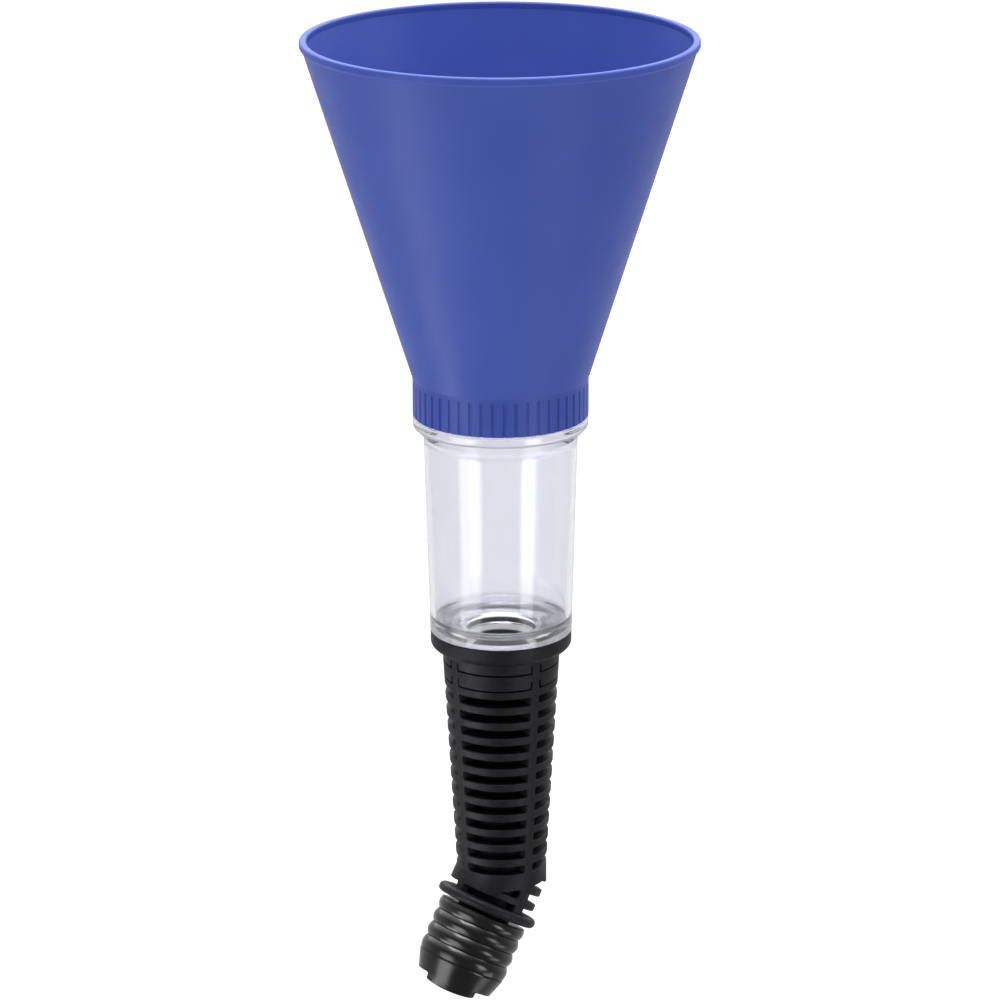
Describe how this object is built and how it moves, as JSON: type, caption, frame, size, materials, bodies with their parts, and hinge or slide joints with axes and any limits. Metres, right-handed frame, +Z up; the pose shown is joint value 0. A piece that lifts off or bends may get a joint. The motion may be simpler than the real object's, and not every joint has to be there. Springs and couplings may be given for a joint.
{
  "type": "filling funnel",
  "caption": "Wide plastic filling funnel screwed on a clear sight cup, with a finned angled spout, a stop disc and a ribbed swivelling filler-neck nozzle.",
  "frame": {"origin": "on the nozzle's axis, at the crest of its first holding ridge, which is where the filler neck starts to hold the part", "axes": "+Z up along the axis of the funnel, sight cup and upper spout; the spout bends towards -X, so the nozzle points along (-0.5, 0, -0.866)"},
  "size_m": [0.16, 0.16, 0.4095],
  "materials": {
    "blue_plastic": "satin moulded polypropylene",
    "clear_plastic": "clear moulded plastic, gloss",
    "black_matte_plastic": "fine matte moulding texture",
    "black_gloss_plastic": "semi-gloss moulding",
    "gasket_rubber": "smooth rubber",
    "white_seal": "smooth white rubber",
    "ring_steel": "spring steel"
  },
  "bodies": {
    "spout": {"spout_body": "black_matte_plastic", "sight_cup": "clear_plastic", "outlet_seal": "white_seal", "plug_o_ring": "gasket_rubber", "plug_retaining_ring": "ring_steel"},
    "gasket": {"collar_gasket": "white_seal"},
    "funnel": {"funnel_cone": "blue_plastic"},
    "nozzle": {"nozzle_plug": "black_gloss_plastic"}
  },
  "joints": [
    {"name": "funnel_lift", "type": "slide", "parent": "spout", "child": "gasket", "axis": [0, 0, 1], "range_m": [0, 0.01]},
    {"name": "funnel_turn", "type": "hinge", "parent": "gasket", "child": "funnel", "pos_m": [0.0107, 0, 0.22053], "axis": [0, 0, 1], "range_deg": [0, 900]},
    {"name": "nozzle_swivel", "type": "hinge", "parent": "spout", "child": "nozzle", "pos_m": [0, 0, 0], "axis": [-0.5, 0, -0.866], "continuous": true}
  ],
  "couplings": [
    {"joint": "funnel_lift", "follows": "funnel_turn", "m_per_rad": 0.000636}
  ]
}
